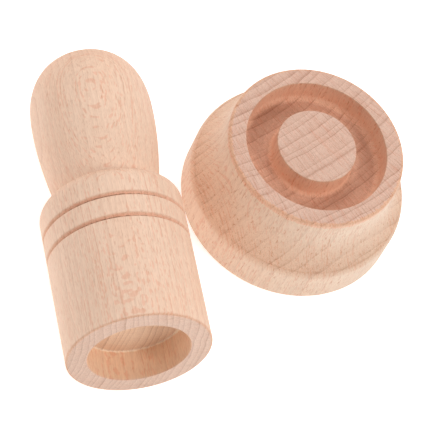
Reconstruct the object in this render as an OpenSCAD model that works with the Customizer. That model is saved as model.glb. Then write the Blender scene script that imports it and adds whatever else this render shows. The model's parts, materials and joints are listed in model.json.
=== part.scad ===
// Paper-pot press: a turned base with a ring groove and a loose former with a knob.
// The base stands at the origin, +Z up, its foot on Z = 0. The former lies beside it on its
// shoulder and its knob, its axis over the Y direction and its open end towards -Y, a little raised.

/* [Base] */
// Diameter of the foot
base_d = 79.5; // [76:0.5:90]
// Height from the foot to the rim
base_h = 38.6; // [36:0.2:48]
// Height of the straight side of the foot
foot_h = 12.6; // [10:0.2:16]
// Radius that rounds the foot into the cove
foot_round = 4.5; // [1:0.5:5]
// Height at which the cove runs into the rim's straight wall
cove_top = 31.5; // [28:0.5:34]
// Outside diameter of the rim
rim_d = 64.3; // [62:0.1:70]
// Radius of the rim's outer edge
rim_round = 1.2; // [0.4:0.1:2]
// Outside diameter of the ring groove
groove_d = 51.7; // [51:0.1:56]
// Depth of the ring groove
groove_depth = 10; // [6:0.5:11]
// Fillet along both walls of the groove floor
groove_fillet = 2.5; // [1:0.5:3]
// Diameter of the centre post, level with the rim
post_d = 28.9; // [24:0.1:32]

/* [Former] */
// Outside diameter of the former, which is the inside of the paper pot
former_d = 50; // [46:0.5:50]
// Length from the open end to the top of the knob
former_len = 120.4; // [112:0.2:140]
// Length of the pot cylinder, shoulder included
barrel_len = 60.4; // [58:0.2:64]
// Radius of the rounded shoulder
shoulder_r = 5.2; // [3:0.1:6]
// Diameter of the recess that clears the post
recess_d = 35.4; // [34:0.1:38]
// Depth of the recess
recess_depth = 11.3; // [11:0.1:20]
// Distance from the open end to the middle of the lower cut line
line_at = 39.5; // [34:0.1:40]
// Distance between the two cut lines
line_gap = 8.7; // [6:0.1:9]
// Width of a cut line at the surface
line_w = 1.6; // [1:0.1:2]
// Width of a cut line at its bottom
line_floor = 0.3; // [0.1:0.1:0.8]
// Depth of a cut line
line_depth = 1.2; // [0.5:0.1:1.5]
// Diameter of the neck under the knob
neck_d = 35.4; // [30:0.2:38]
// Largest diameter of the knob
knob_d = 43.2; // [40:0.2:44]
// Distance from the open end to the knob's largest diameter
knob_at = 94.4; // [88:0.1:98]
// Squareness of the knob's domed top, where 2 is an ellipse
dome_power = 2.45; // [2:0.05:3]

/* [Arrangement] */
// Distance of the former's axis from the base's axis
former_gap = 74.8; // [74.6:0.1:100]
// Distance of the open end in front of the base's axis
mouth_ahead = 73.4; // [0:0.1:100]

/* [Hidden] */
$fn = 128;

// Small radius left on the sharp turned edges of the foot and the open end
edge_r = 0.6;
// Segments in a quarter of a round, along the knob's side and along its dome
round_steps = 8;
side_steps = 16;
dome_steps = 16;

// Cove: a hollow arc that leaves the rim upright and meets the foot's round at one slope
cove_run = (base_d - rim_d) / 2;
cove_rise = cove_top - foot_h;
cove_angle = 2 * atan(cove_run / cove_rise);
cove_r = cove_run / (1 - cos(cove_angle)) - foot_round;
groove_floor = base_h - groove_depth;

// Points of an arc about a centre, from one angle to another
function arc(centre, r, from, to, steps = round_steps) =
    [for (i = [0 : steps]) let (a = from + (to - from) * i / steps) centre + r * [cos(a), sin(a)]];

// Outline of the base, radius against height
base_outline = concat(
    [[0, 0]],
    arc([base_d / 2 - edge_r, edge_r], edge_r, -90, 0, 3),
    arc([base_d / 2 - foot_round, foot_h], foot_round, 0, cove_angle),
    arc([rim_d / 2 + cove_r, cove_top], cove_r, 180 + cove_angle, 180, 16),
    arc([rim_d / 2 - rim_round, base_h - rim_round], rim_round, 0, 90),
    [[groove_d / 2, base_h]],
    arc([groove_d / 2 - groove_fillet, groove_floor + groove_fillet], groove_fillet, 0, -90),
    arc([post_d / 2 + groove_fillet, groove_floor + groove_fillet], groove_fillet, -90, -180),
    [[post_d / 2, base_h], [0, base_h]]
);

// Shoulder, knob side and knob dome, radius against distance from the open end
shoulder = arc([former_d / 2 - shoulder_r, barrel_len - shoulder_r], shoulder_r, 0, 90);
knob_side = [for (i = [0 : side_steps]) let (t = i / side_steps)
    [neck_d / 2 + (knob_d - neck_d) / 2 * sin(90 * t), barrel_len + (knob_at - barrel_len) * t]];
knob_dome = [for (i = [1 : dome_steps]) let (s = sin(90 * i / dome_steps))
    [knob_d / 2 * pow(1 - pow(s, dome_power), 1 / dome_power), knob_at + (former_len - knob_at) * s]];

// Notch of one cut line: steep towards the open end, sloping towards the knob
function cut_line(at) = [
    [former_d / 2, at - line_w / 2],
    [former_d / 2 - line_depth, at - line_w / 2 + line_floor / 2],
    [former_d / 2 - line_depth, at - line_w / 2 + line_floor * 3 / 2],
    [former_d / 2, at + line_w / 2]
];

former_outline = concat(
    [[0, 0]],
    arc([former_d / 2 - edge_r, edge_r], edge_r, -90, 0, 3),
    cut_line(line_at),
    cut_line(line_at + line_gap),
    shoulder,
    knob_side,
    knob_dome
);

// The former lies on the line that touches both its shoulder and its knob
rest_slope = min([for (s = shoulder) max([for (k = knob_dome) (s.x - k.x) / (s.y - k.y)])]);
rest_tilt = atan(-rest_slope);
mouth_z = max([for (p = former_outline) p.x * cos(rest_tilt) + p.y * sin(rest_tilt)]);

module base() {
    color("burlywood") rotate_extrude() polygon(base_outline);
}

module former_upright() {
    difference() {
        rotate_extrude() polygon(former_outline);
        translate([0, 0, -1]) cylinder(d = recess_d, h = recess_depth + 1);
    }
}

module former() {
    color("wheat")
        translate([-former_gap, -mouth_ahead, mouth_z])
            rotate([-90 - rest_tilt, 0, 0]) former_upright();
}

base();
former();
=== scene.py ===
"""Paper-pot press in raw beech: a turned base with a ring groove, and the loose former beside it."""
import json
import math
from collections import namedtuple

import bpy
from mathutils import Matrix, Vector


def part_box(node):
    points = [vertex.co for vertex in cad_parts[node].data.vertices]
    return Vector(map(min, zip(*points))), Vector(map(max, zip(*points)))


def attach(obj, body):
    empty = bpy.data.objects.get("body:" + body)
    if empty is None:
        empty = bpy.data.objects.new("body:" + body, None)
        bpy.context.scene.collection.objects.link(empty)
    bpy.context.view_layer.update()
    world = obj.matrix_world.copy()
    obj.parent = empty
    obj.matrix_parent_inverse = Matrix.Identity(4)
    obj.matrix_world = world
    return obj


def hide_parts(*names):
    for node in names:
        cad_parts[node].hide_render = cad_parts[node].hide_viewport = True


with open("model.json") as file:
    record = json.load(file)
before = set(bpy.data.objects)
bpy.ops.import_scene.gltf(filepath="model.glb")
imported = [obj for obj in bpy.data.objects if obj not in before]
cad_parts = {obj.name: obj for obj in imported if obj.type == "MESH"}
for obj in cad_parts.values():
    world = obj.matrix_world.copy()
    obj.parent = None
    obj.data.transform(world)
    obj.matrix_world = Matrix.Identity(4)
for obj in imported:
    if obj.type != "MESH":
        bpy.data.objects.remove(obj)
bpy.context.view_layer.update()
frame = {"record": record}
MM = 0.001

# Turned shapes, in millimetres. Each outline is radius against height over the piece's own axis.
BASE_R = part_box("base")[1].x / MM
BASE_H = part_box("base")[1].z / MM
FOOT_H, FOOT_ROUND, COVE_TOP = 12.6, 4.5, 31.5
RIM_R, RIM_ROUND = 32.15, 1.2
GROOVE_R, POST_R, GROOVE_DEPTH, GROOVE_FILLET = 25.85, 14.45, 10.0, 2.5
GROOVE_FLOOR = BASE_H - GROOVE_DEPTH

RECESS = next(m for m in frame["record"]["mounts"] if m["name"] == "recess")
RECESS_R, RECESS_DEPTH = RECESS["dims"]["r_mm"], RECESS["dims"]["length_mm"]
FORMER_R, FORMER_LEN, BARREL_LEN, SHOULDER_R = 25.0, 120.4, 60.4, 5.2
LINE_AT, LINE_GAP, LINE_W, LINE_DEPTH = 39.5, 8.7, 1.6, 1.2
NECK_R, KNOB_R, KNOB_AT, DOME_POWER = 17.7, 21.6, 94.4, 2.45

# Turning marks on the groove's floor: how far out from the post each one is, their half width and height
MARKS, MARK_HALF, MARK_H = (4.6, 3.4), 0.3, 0.12

EDGE_R = 0.6        # foot and mouth edges
CRISP_R = 0.22      # edges that the tool left sharp
CORNER_R = 0.4      # corner of the recess's floor
SIDE_STEPS = 24     # stretches of the knob's side
DOME_STEPS = 32     # stretches of the knob's dome
STEP = 0.55         # longest stretch of outline between two rings of points
TURN_STEPS = 224    # points round a piece
ON_AXIS = 1e-6      # a point nearer the axis than this closes the piece

VIEW_AZIMUTH, VIEW_ELEVATION, VIEW_ROLL = -34.08, 56.80, 28.09
VIEW_AIM, VIEW_DISTANCE = (-35.69, -16.59, 20.0), 946.4
FOCAL_PX, FRAME_PX, SENSOR = 2699.0, 430, 36.0

# Floor and light. A light is azimuth, elevation, distance and width in metres, and watts.
FLOOR_HALF, FLOOR_GREY, FLOOR_GLOW = 12.0, 0.93, 0.53
SKY = 0.38
LIGHTS = {
    "right": (44, 44, 1.3, 0.4, 5.7),
    "left": (-112, 46, 1.3, 0.8, 3.3),
    "back": (160, 50, 1.3, 1.0, 6.4),
}


# ---------------------------------------------------------------- outlines

def arc(x, y, r, start, end, steps=6):
    """Points of an arc about (x, y), by angle in degrees."""
    angles = [math.radians(start + (end - start) * i / steps) for i in range(steps + 1)]
    return [(x + r * math.cos(a), y + r * math.sin(a)) for a in angles]


def turning_marks():
    """Points over the low ridges that the tool left on the groove's floor, from the outer one in."""
    ridge = ((MARK_HALF, 0), (0, MARK_H), (-MARK_HALF, 0))
    return [(POST_R + out + step, GROOVE_FLOOR + high) for out in MARKS for step, high in ridge]


def base_outline():
    """Foot, round, hollow flare, rim, groove and post, from the middle of the foot to that of the top."""
    run, rise = BASE_R - RIM_R, COVE_TOP - FOOT_H
    angle = 2 * math.degrees(math.atan(run / rise))
    cove_r = run / (1 - math.cos(math.radians(angle))) - FOOT_ROUND
    fillet_h = GROOVE_FLOOR + GROOVE_FILLET
    return (
        [(0, 0)]
        + arc(BASE_R - EDGE_R, EDGE_R, EDGE_R, -90, 0)
        + arc(BASE_R - FOOT_ROUND, FOOT_H, FOOT_ROUND, 0, angle, 10)
        + arc(RIM_R + cove_r, COVE_TOP, cove_r, 180 + angle, 180, 24)
        + arc(RIM_R - RIM_ROUND, BASE_H - RIM_ROUND, RIM_ROUND, 0, 90, 8)
        + arc(GROOVE_R + CRISP_R, BASE_H - CRISP_R, CRISP_R, 90, 180, 4)
        + arc(GROOVE_R - GROOVE_FILLET, fillet_h, GROOVE_FILLET, 0, -90, 10)
        + turning_marks()
        + arc(POST_R + GROOVE_FILLET, fillet_h, GROOVE_FILLET, -90, -180, 10)
        + arc(POST_R - CRISP_R, BASE_H - CRISP_R, CRISP_R, 0, 90, 4)
        + [(0, BASE_H)]
    )


def cut_line(at):
    """One turned line: a steep wall toward the mouth, a narrow bottom, and a sloping wall toward the knob.
    Its two lips are softened by a tenth or two of a millimetre."""
    low, high = at - LINE_W / 2, at + LINE_W / 2
    low_r, slope_r = FORMER_R - 0.9 * LINE_DEPTH, FORMER_R - 0.35 * LINE_DEPTH
    return [
        (FORMER_R, low - 0.15), (FORMER_R - 0.12, low),
        (low_r, low + 0.12), (FORMER_R - LINE_DEPTH, low + 0.3), (low_r, low + 0.5),
        (slope_r, high - 0.35), (FORMER_R - 0.08, high), (FORMER_R, high + 0.2),
    ]


def knob_side():
    """The side swells from the neck in a quarter of a sine wave."""
    swell, rise = KNOB_R - NECK_R, KNOB_AT - BARREL_LEN
    return [
        (NECK_R + swell * math.sin(math.pi / 2 * i / SIDE_STEPS), BARREL_LEN + rise * i / SIDE_STEPS)
        for i in range(SIDE_STEPS + 1)
    ]


def knob_dome():
    """The dome is a quarter of a squarish ellipse, without the point that it shares with the side."""
    rise = FORMER_LEN - KNOB_AT
    heights = [math.sin(math.pi / 2 * i / DOME_STEPS) for i in range(1, DOME_STEPS + 1)]
    return [
        (KNOB_R * max(0.0, 1 - s**DOME_POWER) ** (1 / DOME_POWER), KNOB_AT + rise * s) for s in heights
    ]


def former_outline():
    """Recess, mouth, pot cylinder with its two lines, shoulder and knob, from the recess's floor on."""
    return (
        [(0, RECESS_DEPTH)]
        + arc(RECESS_R - CORNER_R, RECESS_DEPTH - CORNER_R, CORNER_R, 90, 0, 4)
        + arc(RECESS_R + CRISP_R, CRISP_R, CRISP_R, 180, 270, 4)
        + arc(FORMER_R - EDGE_R, EDGE_R, EDGE_R, -90, 0)
        + cut_line(LINE_AT)
        + cut_line(LINE_AT + LINE_GAP)
        + arc(FORMER_R - SHOULDER_R, BARREL_LEN - SHOULDER_R, SHOULDER_R, 0, 90, 14)
        + knob_side()
        + knob_dome()
    )


def dense(outline):
    """The outline with no stretch longer than STEP, so that smooth shading stays true beside an edge."""
    points = [outline[0]]
    for (r0, h0), (r1, h1) in zip(outline, outline[1:]):
        parts = max(1, math.ceil(math.hypot(r1 - r0, h1 - h0) / STEP))
        points += [(r0 + (r1 - r0) * i / parts, h0 + (h1 - h0) * i / parts) for i in range(1, parts + 1)]
    return points


def spun(outline, place):
    """Points and faces of the outline spun about its axis, with one point where it meets the axis. place
    takes the points from the piece's own frame to the row frame."""
    verts, faces, rings = [], [], []
    for r, h in outline:
        first = len(verts)
        if r < ON_AXIS:
            rings.append([first] * TURN_STEPS)
            verts.append(place @ Vector((0, 0, h * MM)))
            continue
        rings.append(list(range(first, first + TURN_STEPS)))
        for k in range(TURN_STEPS):
            a = 2 * math.pi * k / TURN_STEPS
            verts.append(place @ Vector((r * MM * math.cos(a), r * MM * math.sin(a), h * MM)))
    for low, high in zip(rings, rings[1:]):
        for k in range(TURN_STEPS):
            n = (k + 1) % TURN_STEPS
            corners = [low[k], low[n], high[n], high[k]]
            faces.append([c for i, c in enumerate(corners) if c not in corners[:i]])
    return verts, faces


def turned(name, outline, material, place, body, node):
    """One turned piece: a closed smooth mesh that rides on a body and stands for a CAD node."""
    verts, faces = spun(dense(outline), place)
    mesh = bpy.data.meshes.new(name)
    mesh.from_pydata(verts, [], faces)
    mesh.validate()
    mesh.shade_smooth()
    mesh.materials.append(material)
    piece = bpy.data.objects.new(name, mesh)
    bpy.context.scene.collection.objects.link(piece)
    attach(piece, body)
    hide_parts(node)


# ---------------------------------------------------------------- node graph

class Graph:
    """Short names for building a node tree. A value is a number, a colour or another node's socket."""

    def __init__(self, tree):
        self.tree = tree

    def node(self, kind, inputs=(), **settings):
        made = self.tree.nodes.new(kind)
        for key, value in settings.items():
            setattr(made, key, value)
        for socket, value in dict(inputs).items():
            self.feed(made.inputs[socket], value)
        return made

    def feed(self, socket, value):
        if isinstance(value, bpy.types.NodeSocket):
            self.tree.links.new(value, socket)
        else:
            socket.default_value = value

    def math(self, operation, *values):
        return self.node("ShaderNodeMath", enumerate(values), operation=operation).outputs[0]

    def times(self, first, *others):
        for value in others:
            first = self.math("MULTIPLY", first, value)
        return first

    def length(self, x, y):
        return self.math("SQRT", self.math("ADD", self.times(x, x), self.times(y, y)))

    def about_zero(self, value, size):
        """A value from 0 to 1 as an offset from -size / 2 to size / 2."""
        return self.math("MULTIPLY_ADD", value, size, -size / 2)

    def span(self, value, low, high, to_low=0.0, to_high=1.0, smooth=True):
        """The value's place between low and high, as a number from to_low to to_high."""
        kind = "SMOOTHSTEP" if smooth else "LINEAR"
        inputs = enumerate((value, low, high, to_low, to_high))
        return self.node("ShaderNodeMapRange", inputs, interpolation_type=kind).outputs[0]

    def axes(self, vector):
        return self.node("ShaderNodeSeparateXYZ", {0: vector}).outputs

    def noise(self, axes, per_mm, seed, detail=2.0, roughness=0.5):
        """A noise texture with its own number of cells per millimetre along each axis."""
        x, y, z = (self.math("MULTIPLY_ADD", axis, scale, seed) for axis, scale in zip(axes, per_mm))
        vector = self.node("ShaderNodeCombineXYZ", {"X": x, "Y": y, "Z": z}).outputs[0]
        inputs = {"Vector": vector, "Scale": 1, "Detail": detail, "Roughness": roughness}
        return self.node("ShaderNodeTexNoise", inputs)

    def scaled_noise(self, axes, per_mm, seed, detail=2.0, roughness=0.5):
        return self.noise(axes, per_mm, seed, detail, roughness).outputs[0]

    def three_noises(self, axes, per_mm, seed, detail=2.0):
        """Three separate noises from one texture's colour."""
        colour = self.noise(axes, per_mm, seed, detail).outputs[1]
        return self.node("ShaderNodeSeparateColor", {0: colour}).outputs

    def line_noise(self, w, scale, detail):
        inputs = {"W": w, "Scale": scale, "Detail": detail}
        return self.node("ShaderNodeTexNoise", inputs, noise_dimensions="1D").outputs[0]

    def ramp(self, factor, stops):
        made = self.node("ShaderNodeValToRGB", {0: factor})
        while len(made.color_ramp.elements) < len(stops):
            made.color_ramp.elements.new(0.5)
        for element, (position, colour) in zip(made.color_ramp.elements, stops):
            element.position = position
            element.color = (*colour, 1)
        return made.outputs[0]

    def mix(self, factor, a, b, blend="MIX"):
        made = self.node("ShaderNodeMix", {0: factor}, data_type="RGBA", blend_type=blend)
        for slot, colour in ((6, a), (7, b)):
            self.feed(made.inputs[slot], colour if isinstance(colour, bpy.types.NodeSocket) else (*colour, 1))
        return made.outputs[2]

    def shade(self, colour, weight, tint):
        return self.mix(weight, colour, tint, "MULTIPLY")


# ---------------------------------------------------------------- beech

# A zone whose colour is laid over the wood. Some are wear, where a tool burnished or tore it; others are
# painted shade and a painted highlight in creases and a corner. Its fields: radius from and to, height from
# and to, softness, how torn the edge is, how fully the wood takes the zone's colour, and that colour
Zone = namedtuple("Zone", "r_low r_high z_low z_high soft tear fully colour")


def local_place(g, place):
    """Millimetres along the piece's own axes, and how much of the surface is end grain, from 0 to 1."""
    turn = place.to_euler()
    found = g.node("ShaderNodeTexCoord").outputs
    local = {"Location": place.translation, "Rotation": turn, "Scale": (MM,) * 3}
    position = g.node("ShaderNodeMapping", {"Vector": found["Object"], **local}, vector_type="TEXTURE")
    facing = {"Vector": found["Normal"], "Rotation": turn}
    normal = g.node("ShaderNodeMapping", facing, vector_type="TEXTURE")
    return g.axes(position.outputs[0]), g.math("ABSOLUTE", g.axes(normal.outputs[0])[2])


def grain_place(g, straight, pith, seed):
    """Place in the tree: across the grain, after its slow bend, and as distance from the pith and place
    across the rays, which is measured at the piece's axis."""
    bend = g.three_noises(straight, (0.02, 0.02, 0.01), seed, detail=1)
    x = g.math("ADD", straight[0], g.about_zero(bend[0], 2.5))
    y = g.math("ADD", straight[1], g.about_zero(bend[1], 2.5))
    reach = math.hypot(*pith)
    out = (-pith[0] / reach, -pith[1] / reach)
    depth = g.math("ADD", g.times(x, out[0]), g.math("MULTIPLY_ADD", y, out[1], reach))
    aside = g.math("ADD", g.times(x, -out[1]), g.times(y, out[0]))
    return x, y, g.length(depth, aside), g.times(g.math("ARCTAN2", aside, depth), reach)


def growth_rings(g, straight, radius, ring_width, seed):
    """Thin dark line at each year's end, with a sharp outer side, and the slower darkening before it. The
    years are uneven in width and strength, and waver in a way that the rays don't follow."""
    wave = g.three_noises(straight, (0.10, 0.10, 0.05), seed + 5)[2]
    ringed = g.math("ADD", radius, g.about_zero(wave, 1.6))
    uneven = g.line_noise(g.math("ADD", ringed, seed * 7), 0.16, 2)
    year = g.math("DIVIDE", g.math("MULTIPLY_ADD", uneven, ring_width * 1.8, ringed), ring_width)
    season, which = g.math("FRACT", year), g.math("FLOOR", year)
    strength = g.node("ShaderNodeTexWhiteNoise", {"W": which}, noise_dimensions="1D").outputs[0]
    line = g.times(g.span(season, 0.82, 0.97), g.span(season, 0.998, 0.97))
    patchy = g.scaled_noise(straight, (0.3, 0.3, 0.04), seed + 9)
    line = g.times(line, g.times(g.span(strength, 0, 1, 0.45, 0.85), g.span(patchy, 0.3, 0.6, 0.4, 1.0)))
    late = g.times(g.span(season, 0.2, 0.98, smooth=False), g.span(season, 0.999, 0.985))
    return line, late


def rays(g, along, seed):
    """Sheets about a quarter of a millimetre apart that stay in line along the grain, broken into flecks, and
    finer rays between them."""
    sheet = g.scaled_noise(along, (5.6, 0.04, 0.02), seed, detail=0)
    fleck = g.scaled_noise(along, (3.4, 0.24, 0.45), seed + 21, detail=1)
    broad = g.span(g.math("MULTIPLY_ADD", sheet, 0.42, g.times(fleck, 0.58)), 0.545, 0.61)
    fine = g.span(g.scaled_noise(along, (3.0, 0.10, 0.9), seed + 3), 0.53, 0.68)
    return broad, fine


def fibres(g, straight, x, y, radius, ray, seed):
    """Fibres, dark dashes along the grain that are specks on end grain and thick in some zones, and short
    spindles where rays are cut across. All are staggered along the grain."""
    zone = g.span(g.scaled_noise(straight, (0.07, 0.07, 0.03), seed + 12, detail=1), 0.35, 0.65)
    shift = g.about_zero(g.scaled_noise(straight, (1.3, 1.3, 0.02), seed + 1, detail=1), 16)
    staggered = g.math("ADD", straight[2], shift)
    fibre = g.scaled_noise((x, y, staggered), (2.1, 2.1, 0.27), seed + 4, detail=3, roughness=0.6)
    dash = g.span(g.scaled_noise((x, y, staggered), (2.8, 2.8, 0.42), seed + 6), 0.59, 0.67)
    dash = g.times(dash, g.span(zone, 0, 1, 0.4, 1.0))
    spindle = g.scaled_noise((ray, radius, staggered), (2.2, 1.3, 0.38), seed + 11, detail=1)
    return fibre, dash, g.span(spindle, 0.645, 0.70)


def cut_colour(g, straight, endness, seed, side, slant, end):
    """Colour by how the surface cuts the grain, with a torn edge where one cut turns into the other."""
    tear = g.about_zero(g.scaled_noise(straight, (0.9, 0.9, 0.9), seed, detail=3), 0.22)
    stops = [(0.0, side), (0.08, side), (0.8, slant), (0.9, slant), (0.97, end), (1.0, end)]
    return g.ramp(g.math("ADD", endness, tear), stops)


def lay_wear_and_painted_light(g, colour, straight, seed, zones):
    """The colour with each zone laid over it: worn wood, painted shade and a painted highlight."""
    ragged = g.three_noises(straight, (0.8, 0.8, 0.8), seed + 13, detail=3)
    spread = g.length(straight[0], straight[1])
    for zone in zones:
        r = g.math("ADD", spread, g.about_zero(ragged[0], zone.tear))
        z = g.math("ADD", straight[2], g.about_zero(ragged[1], zone.tear))
        inside = g.times(
            g.span(r, zone.r_low - zone.soft, zone.r_low), g.span(r, zone.r_high, zone.r_high - zone.soft),
            g.span(z, zone.z_low, zone.z_low + zone.soft), g.span(z, zone.z_high, zone.z_high - zone.soft),
        )
        colour = g.mix(g.times(inside, zone.fully), colour, zone.colour)
    return colour


def beech(name, place, pith, ring_width, seed, side, slant, end, mesh, spindles, zones):
    """Solid raw beech, cut by whatever surface the piece has. The grain runs along the piece's own axis, and
    pith is where the tree's centre was, in millimetres from that axis: rings are cylinders about it, and rays
    are thin upright sheets that point at it. side, slant and end are the wood's colours along the grain,
    scraped across it, and on end grain. mesh and spindles are how plainly the rays show on end grain and as
    dashes on the side."""
    material = bpy.data.materials.new(name)
    material.use_nodes = True
    g = Graph(material.node_tree)
    shader = next(n for n in material.node_tree.nodes if n.type == "BSDF_PRINCIPLED")

    straight, endness = local_place(g, place)
    x, y, radius, ray = grain_place(g, straight, pith, seed)
    line, late = growth_rings(g, straight, radius, ring_width, seed)
    broad, fine = rays(g, (ray, radius, straight[2]), seed)
    fibre, dash, spindle = fibres(g, straight, x, y, radius, ray, seed)
    pore = g.scaled_noise((x, y, straight[2]), (3.7, 3.7, 0.5), seed + 7, detail=1)
    cloud = g.scaled_noise(straight, (0.06, 0.06, 0.025), seed + 8, detail=3)

    white = (1, 1, 1)
    cloudy = g.ramp(cloud, [(0.3, (0.97, 0.96, 0.95)), (0.5, white), (0.7, (1.0, 0.97, 0.95))])
    fibrous = g.ramp(fibre, [(0.3, (0.95, 0.93, 0.92)), (0.5, white), (0.7, (1.05, 1.04, 1.04))])
    speckle = g.ramp(pore, [(0.3, (0.88, 0.85, 0.83)), (0.5, white), (0.7, (1.07, 1.06, 1.06))])
    on_end = g.span(endness, 0.3, 0.95)
    colour = lay_wear_and_painted_light(g, cut_colour(g, straight, endness, seed, side, slant, end), straight, seed, zones)
    # Each layer is how much it counts, and the tint that the colour is multiplied by. The last two numbers of
    # a span of on_end are how much it counts on the side and on end grain.
    layers = [
        (1.0, cloudy),
        (g.times(late, g.span(on_end, 0, 1, 0.3, 0.7)), (0.88, 0.82, 0.79)),
        (g.times(line, g.span(on_end, 0.1, 1, 0.3, 1.0)), (0.72, 0.60, 0.55)),
        (g.times(fine, g.span(on_end, 0, 1, 0.08, mesh)), (0.80, 0.71, 0.67)),
        (g.times(broad, g.span(on_end, 0, 1, 0.75, mesh)), (0.95, 0.77, 0.71)),
        (g.times(spindle, g.span(on_end, 0.5, 1, spindles, 0.2)), (0.80, 0.62, 0.53)),
        (1.0, fibrous),
        (g.times(dash, g.span(on_end, 0, 1, 0.6, 0.5)), (0.80, 0.69, 0.63)),
        (g.span(on_end, 0, 1, 0.35, 1.0), speckle),
    ]
    for weight, tint in layers:
        colour = g.shade(colour, weight, tint)
    g.feed(shader.inputs["Base Color"], colour)

    smoother = g.span(pore, 0.3, 0.7, 0.68, 0.56)
    g.feed(shader.inputs["Roughness"], g.math("MULTIPLY_ADD", endness, 0.12, smoother))
    relief = fibre
    for pattern, depth in ((fine, -0.2), (line, -0.4), (dash, -0.8)):
        relief = g.math("MULTIPLY_ADD", pattern, depth, relief)
    bump = g.node("ShaderNodeBump", {"Strength": 0.35, "Distance": 0.08 * MM, "Height": relief})
    g.feed(shader.inputs["Normal"], bump.outputs[0])
    return material


# ---------------------------------------------------------------- pieces

def lying():
    """Place of the former's own frame: its mouth at the recess's opening, its axis into the recess."""
    axis = -Vector(RECESS["axis"]).normalized()
    across = Vector((-1, 0, 0))
    place = Matrix((across, axis.cross(across), axis)).transposed().to_4x4()
    place.translation = Vector(RECESS["pos_m"]) - axis * (RECESS_DEPTH / 2 * MM)
    return place


def base_zones():
    """The groove, its floor darkened partly with painted shade, and the fuzz on the rim's outer edge."""
    low = GROOVE_FLOOR - 1
    return [
        Zone(POST_R - 0.4, GROOVE_R + 0.4, low, BASE_H - 0.2, 0.3, 0.8, 0.8, (0.88, 0.53, 0.36)),
        # Darker floor of the groove: partly the end grain's own colour, partly painted shade at the groove's
        # bottom
        Zone(POST_R + 1.5, GROOVE_R - 1, low, GROOVE_FLOOR + 1.6, 1.4, 0.8, 0.9, (0.66, 0.375, 0.255)),
        Zone(RIM_R - 0.8, RIM_R + 2, BASE_H - 2.2, BASE_H + 1.5, 0.5, 2.2, 0.7, (0.83, 0.49, 0.32)),
    ]


def former_zones():
    """The recess, a painted highlight along the corner of its floor, the cut lines, painted shade in their
    bottoms, and the mouth's outer edge.
    """
    corner, bottom = RECESS_R + 0.4, FORMER_R - 2 * LINE_DEPTH
    low, high = LINE_AT - LINE_W, LINE_AT + LINE_GAP + LINE_W
    return [
        Zone(-1, corner, 0.2, RECESS_DEPTH + 1, 0.3, 0.8, 0.8, (0.90, 0.645, 0.445)),
        # Painted highlight: a pale line along the rounded corner of the recess's floor, where it catches the
        # light
        Zone(RECESS_R - 0.6, corner, RECESS_DEPTH - 0.5, RECESS_DEPTH + 1, 0.2, 0.8, 0.6, (1.0, 0.86, 0.68)),
        Zone(bottom, FORMER_R - 0.1, low, high, 0.3, 0.8, 0.85, (0.86, 0.51, 0.35)),
        # Painted shade: the bottoms of the cut lines are painted dark brown, for the shade deep in each line
        Zone(bottom, FORMER_R - 0.8, low, high, 0.2, 0.6, 0.9, (0.36, 0.20, 0.13)),
        Zone(FORMER_R - 0.5, FORMER_R + 1, -1, 0.9, 0.5, 1.0, 0.5, (0.80, 0.47, 0.31)),
    ]


def press_base():
    place = Matrix.Identity(4)
    wood = beech(
        "beech_base", place, pith=(-66, 114), ring_width=3.6, seed=3.1, mesh=0.75, spindles=0.9,
        side=(0.80, 0.62, 0.48), slant=(0.80, 0.53, 0.37), end=(0.75, 0.505, 0.395), zones=base_zones(),
    )
    turned("press_base", base_outline(), wood, place, "base", "base")


def press_former():
    place = lying()
    wood = beech(
        "beech_former", place, pith=(90, -1.5), ring_width=2.3, seed=11.4, mesh=0.25, spindles=0.35,
        side=(0.89, 0.63, 0.47), slant=(0.83, 0.54, 0.38), end=(0.77, 0.555, 0.44), zones=former_zones(),
    )
    turned("press_former", former_outline(), wood, place, "former", "former")


# ---------------------------------------------------------------- floor, light and camera

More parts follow.
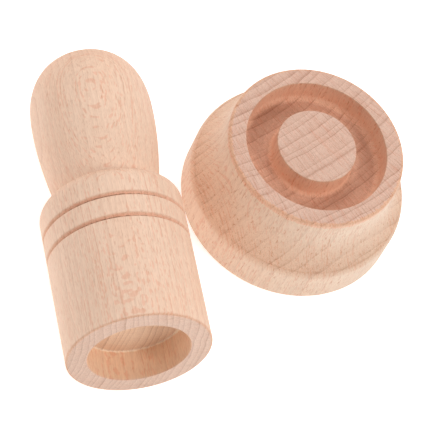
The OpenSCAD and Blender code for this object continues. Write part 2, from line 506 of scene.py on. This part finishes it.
def floor():
    """A plain pale floor that glows a little, like a light table."""
    material = bpy.data.materials.new("floor")
    material.use_nodes = True
    shader = next(n for n in material.node_tree.nodes if n.type == "BSDF_PRINCIPLED")
    shader.inputs["Base Color"].default_value = (FLOOR_GREY, FLOOR_GREY, FLOOR_GREY, 1)
    shader.inputs["Roughness"].default_value = 0.9
    shader.inputs["Specular IOR Level"].default_value = 0.1
    shader.inputs["Emission Color"].default_value = (1, 1, 1, 1)
    shader.inputs["Emission Strength"].default_value = FLOOR_GLOW
    far = FLOOR_HALF
    mesh = bpy.data.meshes.new("floor")
    mesh.from_pydata([(-far, -far, 0), (far, -far, 0), (far, far, 0), (-far, far, 0)], [], [(0, 1, 2, 3)])
    mesh.materials.append(material)
    made = bpy.data.objects.new("floor", mesh)
    bpy.context.scene.collection.objects.link(made)


def sky():
    world = bpy.data.worlds.new("sky")
    world.use_nodes = True
    background = world.node_tree.nodes["Background"]
    background.inputs[0].default_value = (1, 1, 1, 1)
    background.inputs[1].default_value = SKY
    bpy.context.scene.world = world


def direction(azimuth, elevation):
    a, e = math.radians(azimuth), math.radians(elevation)
    return Vector((math.sin(a) * math.cos(e), -math.cos(a) * math.cos(e), math.sin(e)))


def soft_light(name, azimuth, elevation, distance, width, power):
    """A round area light, aimed at the point that the camera looks at."""
    back = direction(azimuth, elevation)
    data = bpy.data.lights.new(name, "AREA")
    data.shape, data.size, data.energy = "DISK", width, power
    lamp = bpy.data.objects.new(name, data)
    lamp.location = Vector(VIEW_AIM) * MM + back * distance
    lamp.rotation_mode = "QUATERNION"
    lamp.rotation_quaternion = (-back).to_track_quat("-Z", "Y")
    bpy.context.scene.collection.objects.link(lamp)


def camera():
    back = direction(VIEW_AZIMUTH, VIEW_ELEVATION)
    data = bpy.data.cameras.new("camera")
    data.sensor_width = SENSOR
    data.lens = FOCAL_PX / FRAME_PX * SENSOR
    data.clip_start, data.clip_end = 0.05, 20
    made = bpy.data.objects.new("camera", data)
    roll = Matrix.Rotation(math.radians(VIEW_ROLL), 3, "Z")
    turn = (-back).to_track_quat("-Z", "Y").to_matrix() @ roll
    made.matrix_world = Matrix.Translation(Vector(VIEW_AIM) * MM + back * VIEW_DISTANCE * MM) @ turn.to_4x4()
    bpy.context.scene.collection.objects.link(made)
    bpy.context.scene.camera = made


press_base()
press_former()
floor()
sky()
for light, values in LIGHTS.items():
    soft_light(light, *values)
camera()
bpy.context.scene.view_settings.view_transform = "Standard"
